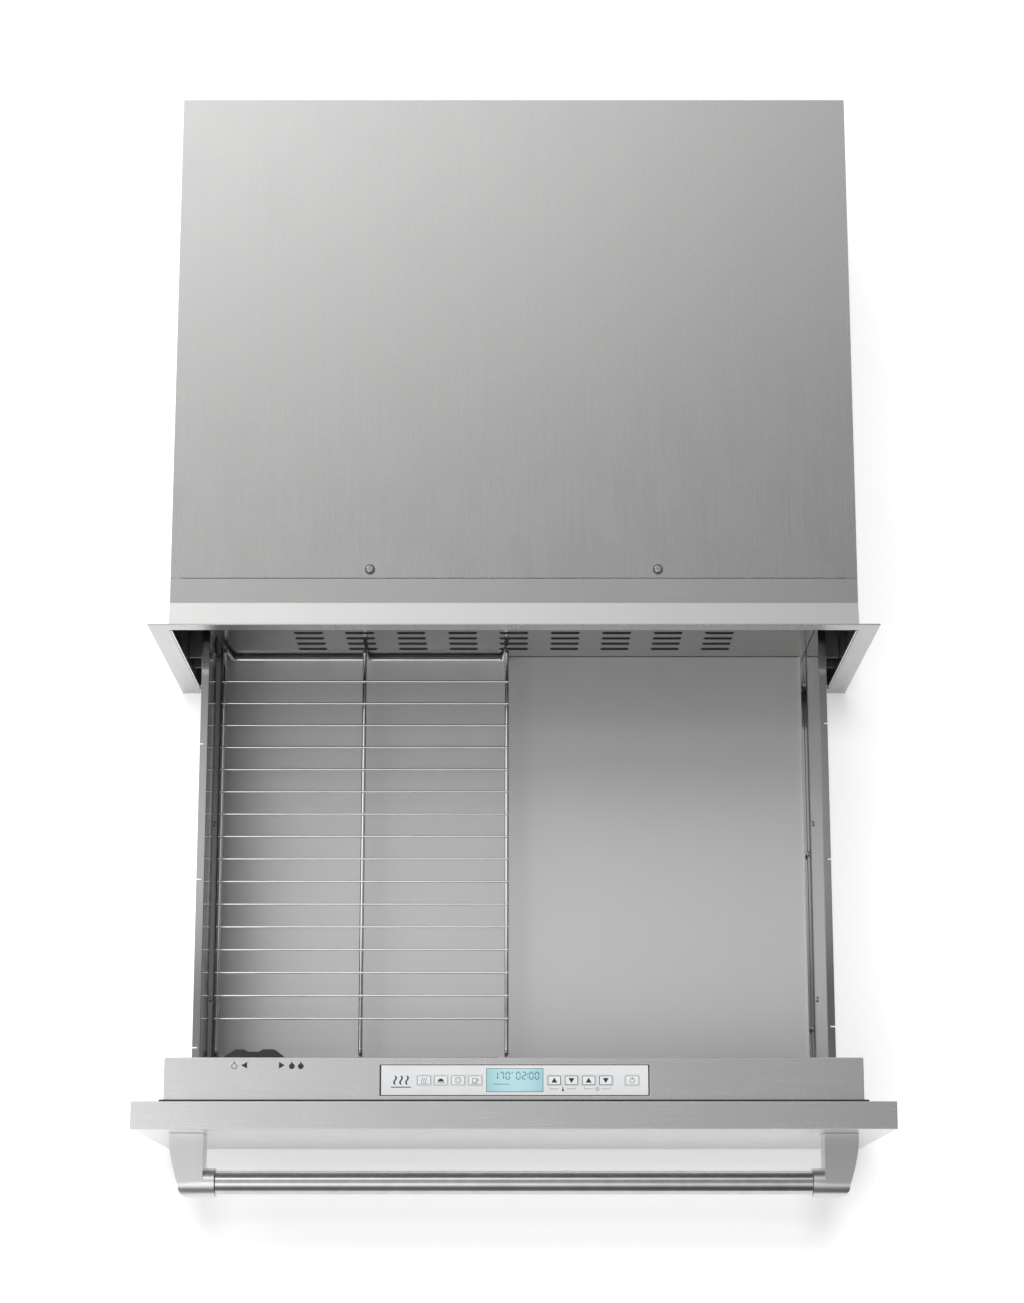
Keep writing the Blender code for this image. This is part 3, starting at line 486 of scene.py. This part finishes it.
def flat_disc(x, y, z, radius, sides=24, turn=0.0):
    pick_only_none()
    bpy.ops.mesh.primitive_circle_add(
        vertices=sides, radius=radius, fill_type="NGON", location=(x, y, z), rotation=(0, 0, turn)
    )
    bpy.ops.object.transform_apply(location=True, rotation=True, scale=True)
    return bpy.context.object


def flat_ring(x, y, z, radius, line, sides=24):
    obj = flat_disc(x, y, z, radius, sides)
    hollow_out(obj, line)
    return thickened(obj)


def hollow_out(obj, line):
    """Insets a flat shape's only face and deletes the middle."""
    bpy.ops.object.mode_set(mode="EDIT")
    bpy.ops.mesh.select_all(action="SELECT")
    bpy.ops.mesh.inset(thickness=line, depth=0.0)
    bpy.ops.mesh.delete(type="FACE")
    bpy.ops.object.mode_set(mode="OBJECT")


def flat_bar(x, y, z, width, depth):
    pick_only_none()
    bpy.ops.mesh.primitive_plane_add(size=1.0, location=(x, y, z))
    obj = bpy.context.object
    obj.scale = (width, depth, 1)
    bpy.ops.object.transform_apply(location=True, rotation=True, scale=True)
    return obj


def flat_frame(x, y, z, width, depth, line, corner=0.0):
    obj = flat_bar(x, y, z, width, depth)
    if corner:
        bpy.ops.object.mode_set(mode="EDIT")
        bpy.ops.mesh.select_all(action="SELECT")
        bpy.ops.mesh.bevel(offset=corner, segments=4, affect="VERTICES")
        bpy.ops.object.mode_set(mode="OBJECT")
    hollow_out(obj, line)
    return thickened(obj)


def triangle(x, y, z, size, facing):
    """A solid triangle. facing is the angle that its point looks along, in degrees."""
    obj = flat_disc(x, y, z, size, 3, math.radians(facing - 90))
    return thickened(obj)


def droplet(x, y, z, size, line=None):
    """A drop with its point to the rear, solid or outlined."""
    obj = flat_disc(x, y, z, size, 20)
    tip = max(obj.data.vertices, key=lambda vertex: vertex.co.y)
    tip.co.y += size * 0.9
    if line:
        hollow_out(obj, line)
    return thickened(obj)


SEGMENTS = {
    "0": "abcdef",
    "1": "bc",
    "2": "abged",
    "7": "abc",
}


def digit(x, y, z, height, character):
    """A seven-segment digit, made of bars."""
    width, line = height * 0.5, height * 0.12
    places = {
        "a": (0, 1, True),
        "g": (0, 0, True),
        "d": (0, -1, True),
        "f": (-1, 0.5, False),
        "b": (1, 0.5, False),
        "e": (-1, -0.5, False),
        "c": (1, -0.5, False),
    }
    bars = []
    for letter in SEGMENTS[character]:
        across, up, level = places[letter]
        centre_x, centre_y = x + across * width / 2, y + up * height / 2
        long_side = (width if level else height / 2) - line * 1.2
        size = (long_side, line) if level else (line, long_side)
        bars.append(thickened(flat_bar(centre_x, centre_y, z, *size)))
    return bars


def wave(x, y, z, length, sway, line):
    """A wavy line that runs along Y."""
    obj = flat_bar(x, y, z, line, length)
    bpy.ops.object.mode_set(mode="EDIT")
    bpy.ops.mesh.select_all(action="SELECT")
    bpy.ops.mesh.subdivide(number_cuts=9)
    bpy.ops.object.mode_set(mode="OBJECT")
    for vertex in obj.data.vertices:
        vertex.co.x += sway * math.sin(math.tau * (vertex.co.y - y) / length)
    return thickened(obj)


def dome(x, y, z, radius):
    """A half disc, flat side to the front."""
    obj = flat_disc(x, y, z, radius, 24)
    bpy.ops.object.mode_set(mode="EDIT")
    bpy.ops.mesh.select_all(action="SELECT")
    bpy.ops.mesh.bisect(plane_co=(x, y, z), plane_no=(0, 1, 0), clear_inner=True)
    bpy.ops.object.mode_set(mode="OBJECT")
    return thickened(obj)


def strip(x, y, z, width, depth):
    return thickened(flat_bar(x, y, z, width, depth))


# Cabinet


def make_cabinet(finishes):
    refined("top_cover", 0.0006, finishes["cover"], 3)
    refined("front_collar", 0, finishes["collar"], smooth=4)
    refined("front_frame", 0.0004, finishes["stainless_z"], pierced=True)
    for node in ("left_side_panel", "right_side_panel"):
        refined(node, 0.0004, finishes["cover"])
    refined("rear_panel", 0, finishes["stainless_x"], smooth=20, pierced=True)
    refined("base_pan", 0.0003, finishes["cover"])
    refined("rear_baffle", 0, finishes["inner"], smooth=20, pierced=True)
    refined("heat_reflector", 0.0002, finishes["foil"])
    refined("terminal_block", 0.0005, finishes["ceramic"])
    refined("cord_gland", 0.0006, finishes["black"])
    refined("thermal_cutout", 0.0003, finishes["black"])
    refined("temperature_sensor", 0.0003, finishes["screw"])
    refined("power_board", 0.0003, finishes["board"])
    refined("insulation_pad", 0.0015, finishes["wool"])
    for end in ("front", "rear"):
        refined("element_bracket_" + end, 0.0002, finishes["zinc"])
    element = frame["nodes"]["heating_element"].data.materials
    element.clear()
    element.append(finishes["heater"])
    for side in ("left", "right"):
        refined("slide_outer_" + side, 0.0003, finishes["zinc"])
        refined("slide_bracket_" + side, 0.0003, finishes["inner"])
        refined("runner_" + side, 0.0003, finishes["zinc"])
        refined("slide_inner_" + side, 0.0003, finishes["zinc"])
        make_cover_screw(side, finishes)


def make_cover_screw(side, finishes):
    """A washer under a domed head with a cross recess."""
    node = "cover_screw_" + side
    low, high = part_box(node)
    x, y = (low.x + high.x) / 2, (low.y + high.y) / 2
    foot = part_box("top_cover")[1].z
    radius = (high.x - low.x) / 2
    seat = foot + 1.1 * MM
    washer = rod((x, y, foot + 0.3 * MM), (x, y, seat), radius, 32, rim=0.25 * MM)
    soften(washer, 0)
    hand_over(washer, "cover_washer_" + side, "cabinet", "zinc_plate", finishes["heater"])
    head = pan_head((x, y, seat), (0, 0, 1), radius * 0.70, 1.9 * MM)
    hand_over(head, node + "_finished", "cabinet", "zinc_plate", finishes["screw"], node)


# Drawer

SHEET = 1.0 * MM
SLOT_END_RADIUS = 1.8 * MM
# (Y, Z) of the heads inside each wall: three hold the floor, two the slide.
WALL_SCREWS = ((-0.304, 0.040), (-0.4985, 0.040), (-0.693, 0.040), (-0.474, 0.084), (-0.667, 0.084))


def make_drawer(finishes):
    for side in ("left", "right"):
        refined("drawer_side_" + side, 0.0005, finishes["liner"], 3)
    refined("drawer_floor", 0.0005, finishes["tray"], 3)
    refined("drawer_inner_front", 0.0003, finishes["liner_across"])
    make_drawer_back(finishes)
    refined("front_skin", 0.0012, finishes["strip"], 3)
    refined("front_backing", 0.0003, finishes["inner"])
    refined("front_seal", 0.0012, finishes["rubber"], 3)
    refined("front_insulation", 0.0015, finishes["wool"])
    refined("control_housing", 0.0007, finishes["strip"], 3, pierced=True)
    refined("control_board", 0.0003, finishes["board"])
    refined("display_module", 0.0004, finishes["black"])
    refined("vent_slider", 0.0008, finishes["black"], 3)
    make_wall_screws(finishes)


def make_drawer_back(finishes):
    """The louvred wall. Each slot's corners are rounded, and its punched edges get the black finish as
    painted shade inside the slots.
    """
    back = refined("drawer_back", 0, finishes["liner_across"])
    low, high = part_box("drawer_back")
    for group in (back.data.vertices, back.data.edges, back.data.polygons):
        group.foreach_set("select", [False] * len(group))
    for edge in back.data.edges:
        first, second = (back.data.vertices[index] for index in edge.vertices)
        across = abs(first.co.y - second.co.y)
        if in_slots(first.co, low, high) and across > SHEET / 2:
            edge.select = first.select = second.select = True
    pick_only(back)
    bpy.ops.object.mode_set(mode="EDIT")
    bpy.ops.mesh.select_mode(type="EDGE")
    bpy.ops.mesh.bevel(offset=SLOT_END_RADIUS, segments=4, affect="EDGES")
    bpy.ops.object.mode_set(mode="OBJECT")
    soften(back, 0.00015, 1, angle=60)
    # Painted shade: the faces inside each slot take the black moulding finish, so the slots read as dark.
    back.data.materials.append(finishes["black"])
    for face in back.data.polygons:
        if in_slots(face.center, low, high) and abs(face.normal.y) < 0.8:
            face.material_index = 1


def in_slots(point, low, high):
    """Whether a point of the louvred wall lies in the field of its slots, clear of the wall's edges."""
    return low.z + 20 * MM < point.z < high.z - 10 * MM and abs(point.x) < high.x - 50 * MM


def make_wall_screws(finishes):
    """Small domed heads that hold the floor and the slides, on the inside of each wall."""
    for side, word in ((-1, "left"), (1, "right")):
        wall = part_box("drawer_inner_front")[1].x + 0.0004
        heads = []
        for y, z in WALL_SCREWS:
            heads.append(pan_head((side * wall, y, z), (-side, 0, 0), 3.1 * MM, 1.4 * MM))
        hand_over(joined(heads), "wall_screws_" + word, "drawer", "zinc_plate", finishes["screw"])


# Controls


def make_controls(finishes):
    refined("fascia_plate", 0, finishes["overlay"], smooth=20, pierced=True)
    refined("display_window", 0.0003, finishes["display"], 3)
    make_display_reading(finishes)
    make_fascia_print(finishes)
    make_vent_print(finishes)
    drawings = {
        "key_program_1": draw_warming,
        "key_program_2": draw_proofing,
        "key_program_3": draw_plates,
        "key_program_4": draw_cups,
        "key_temperature_up": draw_up,
        "key_temperature_down": draw_down,
        "key_timer_up": draw_up,
        "key_timer_down": draw_down,
        "key_power": draw_power,
    }
    for node, draw in drawings.items():
        refined(node, 0.0003, finishes["key"], 3)
        low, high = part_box(node)
        x, y, z = (low.x + high.x) / 2, (low.y + high.y) / 2, high.z
        line = (0.65 if draw in (draw_up, draw_down) else 0.42) * MM
        outline = flat_frame(x, y, z, 13.4 * MM, 9.6 * MM, line, corner=1.2 * MM)
        shapes = joined([outline, *draw(x, y, z)])
        hand_over(shapes, node + "_print", body_of(node), "black_plastic", finishes["ink"])


def draw_warming(x, y, z):
    shapes = []
    for shift in (-2 * MM, 0, 2 * MM):
        shapes.append(wave(x + shift, y + 0.6 * MM, z, 4.4 * MM, 0.45 * MM, 0.5 * MM))
    return [*shapes, strip(x, y - 2.8 * MM, z, 7 * MM, 0.5 * MM)]


def draw_proofing(x, y, z):
    return [dome(x, y - 1.2 * MM, z, 3.0 * MM), strip(x, y - 2.4 * MM, z, 8 * MM, 0.5 * MM)]


def draw_plates(x, y, z):
    return [flat_ring(x, y, z, 3.3 * MM, 0.4 * MM), flat_ring(x, y, z, 1.9 * MM, 0.3 * MM)]


def draw_cups(x, y, z):
    cup = flat_frame(x - 0.6 * MM, y, z, 4.6 * MM, 4.6 * MM, 0.45 * MM, corner=0.9 * MM)
    ear = flat_ring(x + 2.6 * MM, y + 0.3 * MM, z, 1.2 * MM, 0.4 * MM)
    return [cup, ear, strip(x, y - 3.2 * MM, z, 7 * MM, 0.4 * MM)]


def draw_up(x, y, z):
    return [triangle(x, y - 0.6 * MM, z, 3.4 * MM, 90)]


def draw_down(x, y, z):
    return [triangle(x, y + 0.6 * MM, z, 3.4 * MM, -90)]


def draw_power(x, y, z):
    ring = flat_ring(x, y - 0.3 * MM, z, 2.6 * MM, 0.45 * MM)
    return [ring, strip(x, y + 1.9 * MM, z, 0.5 * MM, 2.8 * MM)]


# Each digit's place from the window's middle, in millimetres: a temperature, then a time.
READING = ((-19, "1"), (-13, "7"), (-7, "0"), (3.6, "0"), (9.4, "2"), (16.6, "0"), (22.4, "0"))
DIGIT_HEIGHT = 7.0 * MM


def make_display_reading(finishes):
    """A temperature and a time in seven-segment digits, and a row of small marks."""
    low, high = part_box("display_window")
    x, y, z = (low.x + high.x) / 2, (low.y + high.y) / 2 + 4.5 * MM, high.z
    shapes = []
    for shift, character in READING:
        shapes += digit(x + shift * MM, y, z, DIGIT_HEIGHT, character)
    shapes.append(flat_ring(x - 2.6 * MM, y + 3.0 * MM, z, 1.0 * MM, 0.35 * MM))
    for rise in (-1.5, 1.5):
        shapes.append(thickened(flat_disc(x + 13.0 * MM, y + rise * MM, z, 0.5 * MM, 12)))
    for step in range(7):
        shapes.append(strip(x + (-20.5 + 2.4 * step) * MM, y - 8.5 * MM, z, 1.7 * MM, 0.7 * MM))
    hand_over(joined(shapes), "display_reading", "drawer", "black_plastic", finishes["segment"])


def make_fascia_print(finishes):
    """A heat mark at the left end, and a thermometer and a clock under their pairs of keys."""
    low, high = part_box("fascia_plate")
    y, z = (low.y + high.y) / 2, high.z
    shapes = [wave(low.x + (14 + 6 * step) * MM, y, z, 9 * MM, 1.1 * MM, 1.7 * MM) for step in range(3)]
    shapes.append(strip(low.x + 20 * MM, y - 7 * MM, z, 20 * MM, 0.9 * MM))
    pairs = (("key_temperature_up", "key_temperature_down"), ("key_timer_up", "key_timer_down"))
    for first, second in pairs:
        left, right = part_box(first)[0].x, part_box(second)[1].x
        middle = (left + right) / 2
        row = low.y + 6.2 * MM
        for side in (-1, 1):
            shapes.append(strip(middle + side * 8.6 * MM, row, z, 9 * MM, 0.35 * MM))
            shapes.append(strip(middle + side * 12.9 * MM, row + 0.8 * MM, z, 0.35 * MM, 1.8 * MM))
        if first == "key_temperature_up":
            shapes.append(thickened(flat_disc(middle, row - 1.2 * MM, z, 1.1 * MM, 16)))
            shapes.append(strip(middle, row + 0.6 * MM, z, 0.8 * MM, 3.0 * MM))
        else:
            shapes.append(flat_ring(middle, row - 0.2 * MM, z, 1.9 * MM, 0.35 * MM))
            shapes.append(strip(middle, row + 0.4 * MM, z, 0.35 * MM, 1.3 * MM))
            shapes.append(strip(middle + 0.5 * MM, row - 0.2 * MM, z, 1.1 * MM, 0.35 * MM))
    hand_over(joined(shapes), "fascia_print", "drawer", "black_plastic", finishes["ink"])


VENT_PRINT_MIDDLE = -252.5 * MM  # 1 mm to the right of the slider's place at mid travel
DROP_RADIUS = 2.9 * MM


def make_vent_print(finishes):
    """Arrows beside the moisture slider, with an empty drop for dry and two full drops for moist."""
    low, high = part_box("control_housing")
    y, z = high.y - 8.0 * MM, high.z
    middle = VENT_PRINT_MIDDLE
    shapes = [triangle(middle - 18 * MM, y, z, 3.9 * MM, 180)]
    shapes.append(triangle(middle + 18 * MM, y, z, 3.9 * MM, 0))
    shapes.append(droplet(middle - 29 * MM, y - 1 * MM, z, DROP_RADIUS, 0.6 * MM))
    for shift in (29 * MM, 38 * MM):
        shapes.append(droplet(middle + shift, y - 1 * MM, z, DROP_RADIUS))
    hand_over(joined(shapes), "vent_print", "drawer", "black_plastic", finishes["ink"])


# Handle


def make_handle(finishes):
    low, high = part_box("handle_bar")
    y, z, radius = (low.y + high.y) / 2, (low.z + high.z) / 2, (high.z - low.z) / 2
    bar = rod((low.x, y, z), (high.x, y, z), radius, 64, rim=0.6 * MM)
    soften(bar, 0)
    hand_over(bar, "handle_bar_finished", "drawer", "stainless", finishes["polished"], "handle_bar")
    for side in ("left", "right"):
        refined("handle_bracket_" + side, 0.0015, finishes["bracket"], 4, angle=40, smooth=30)


# Rack


RACK_MIDDLE = -165 * MM
RACK_BEND = 6 * MM
RACK_LEAN = 4 * MM  # how far the outer legs lean inwards at the foot
RAIL_RADIUS = 2.5 * MM
WIRE_RADIUS = 1.25 * MM
WIRE_COUNT = 16
WIRE_REAR = -312.4 * MM
WIRE_PITCH = 25 * MM


def make_rack(finishes):
    """Two hoops that meet half way along the outer rails, a middle wire and the cross wires."""
    grid_low, grid_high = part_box("rack_grid")
    rear_low, rear_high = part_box("rack_legs_rear")
    front_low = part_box("rack_legs_front")[0]
    left, right = rear_low.x + RAIL_RADIUS, rear_high.x - RAIL_RADIUS
    rail_z = grid_low.z + RAIL_RADIUS
    foot_z = rear_low.z + RAIL_RADIUS
    halfway = (grid_low.y + grid_high.y) / 2
    wires = []
    ends = (rear_high.y - RAIL_RADIUS, front_low.y + RAIL_RADIUS)
    for end in ends:
        corners = [(left, halfway, rail_z), (left, end, rail_z), (left + RACK_LEAN, end, foot_z)]
        corners += [(right - RACK_LEAN, end, foot_z), (right, end, rail_z), (right, halfway, rail_z)]
        wires.append(wire(rounded_path(corners, RACK_BEND), RAIL_RADIUS))
    middle = [(RACK_MIDDLE, ends[0], foot_z), (RACK_MIDDLE, ends[0], rail_z)]
    middle += [(RACK_MIDDLE, ends[1], rail_z), (RACK_MIDDLE, ends[1], foot_z)]
    wires.append(wire(rounded_path(middle, RACK_BEND), RAIL_RADIUS))
    cross_z = grid_high.z - WIRE_RADIUS
    for index in range(WIRE_COUNT):
        y = WIRE_REAR - WIRE_PITCH * index
        start, end = (grid_low.x, y, cross_z), (grid_high.x, y, cross_z)
        wires.append(rod(start, end, WIRE_RADIUS, 16, rim=0.5 * MM))
    rack = joined(wires)
    soften(rack, 0)
    nodes = ("rack_grid", "rack_legs_rear", "rack_legs_front")
    hand_over(rack, "rack_wires", "rack", "chrome", finishes["chrome"], *nodes)


# Stage


def softbox(name, place, target, size, power, mirrored=True):
    """A rectangular lamp aimed at a target. Metal shows it only where it is mirrored."""
    light = bpy.data.lights.new(name, "AREA")
    light.shape = "RECTANGLE"
    light.size, light.size_y = size
    light.energy = power
    lamp = bpy.data.objects.new(name, light)
    lamp.location = place
    lamp.visible_glossy = mirrored
    lamp.rotation_euler = (Vector(target) - Vector(place)).to_track_quat("-Z", "Y").to_euler()
    bpy.context.scene.collection.objects.link(lamp)


FLOOR_SIZE = 24.0
FLOOR_GAP = 0.4 * MM
FLOOR_GLOW = 0.26


def make_floor():
    """Pale paper. It glows a little, and more to the camera than to what stands on it."""
    pick_only_none()
    place = (0, 0, cad_low.z - FLOOR_GAP)
    bpy.ops.mesh.primitive_plane_add(size=FLOOR_SIZE, location=place)
    floor = bpy.context.object
    floor.name = "studio_floor"
    finish = Finish("studio_paper")
    cloud = finish.noise((0.8, 0.8, 0.8), detail=1.0)
    colour = finish.tint(finish.spread(cloud, 0.4, 0.6), (0.90, 0.90, 0.90), (0.94, 0.94, 0.94))
    seen = finish.node("ShaderNodeLightPath")
    glow = finish.tint(seen, (0.5, 0.5, 0.5), (1.0, 1.0, 1.0))
    paper = finish.surface(
        base_color=colour, roughness=0.9, emission_color=glow, emission_strength=FLOOR_GLOW
    )
    floor.data.materials.append(paper)


# The room that metal mirrors. Each list runs along an axis of the view direction, from -1 to 1.
ROOM_DEPTH = (
    (-1.0, 0.22),
    (-0.93, 0.10),
    (-0.78, 0.12),
    (-0.60, 0.45),
    (-0.36, 0.98),
    (-0.20, 0.80),
    (-0.08, 0.42),
    (0.04, 0.33),
    (0.11, 0.30),
    (0.14, 0.14),
    (0.17, 0.60),
    (0.23, 0.58),
    (0.28, 0.20),
    (0.34, 0.16),
    (0.43, 0.72),
    (0.55, 1.0),
    (0.76, 0.85),
    (0.88, 0.12),
    (1.0, 0.20),
)
ROOM_WIDTH = (
    (-1.0, 0.20),
    (-0.88, 0.16),
    (-0.70, 0.85),
    (-0.34, 1.0),
    (-0.12, 0.72),
    (0.12, 0.38),
    (0.34, 0.20),
    (0.70, 0.20),
    (0.90, 0.14),
    (1.0, 0.20),
)
ROOM_BRIGHTNESS = 2.45


def room_ramp(graph, value, levels):
    stops = [((place + 1) / 2, grey(level)) for place, level in levels]
    half = value * 0.5 + 0.5
    return graph.node("ShaderNodeValToRGB", {"stops": stops}, {0: half})


def make_world():
    """White behind the object, and for the metal a room that is brighter to the left."""
    world = bpy.data.worlds.new("studio")
    bpy.context.scene.world = world
    world.use_nodes = True
    world.node_tree.nodes.clear()
    graph = Graph(world.node_tree)
    where = graph.node("ShaderNodeTexCoord")
    apart = graph.node("ShaderNodeSeparateXYZ", None, {0: where})
    across, along = (Value(graph, apart.socket.node.outputs[index]) for index in (0, 1))
    brightness = room_ramp(graph, across, ROOM_WIDTH) * ROOM_BRIGHTNESS
    shade = room_ramp(graph, along, ROOM_DEPTH)
    room = graph.node("ShaderNodeBackground", None, {0: shade, 1: brightness})
    backdrop = graph.node("ShaderNodeBackground", None, {0: (1, 1, 1, 1)})
    seen = graph.node("ShaderNodeLightPath")
    mixed = graph.node("ShaderNodeMixShader", None, {0: seen, 1: room, 2: backdrop})
    graph.node("ShaderNodeOutputWorld", None, {0: mixed})


def make_camera():
    data = bpy.data.cameras.new("camera")
    data.lens = CAMERA_LENS
    data.sensor_width = CAMERA_SENSOR
    data.shift_x, data.shift_y = CAMERA_SHIFT
    camera = bpy.data.objects.new("camera", data)
    camera.location = CAMERA_PLACE
    camera.rotation_euler = (CAMERA_TILT, 0, 0)
    bpy.context.scene.collection.objects.link(camera)
    bpy.context.scene.camera = camera


def main():
    make_camera()
    make_world()
    softbox("front_left_panel", (-1.1, -0.8, 2.4), (0.0, -0.7, 0.2), (0.8, 0.7), 1.0)
    softbox("overhead_panel", (0.0, 0.05, 5.0), (0.0, -0.3, 0.0), (0.9, 1.3), 105.0, mirrored=False)
    make_floor()
    bpy.context.scene.view_settings.view_transform = "Standard"
    finishes = make_finishes()
    make_cabinet(finishes)
    make_drawer(finishes)
    make_controls(finishes)
    make_handle(finishes)
    make_rack(finishes)


main()
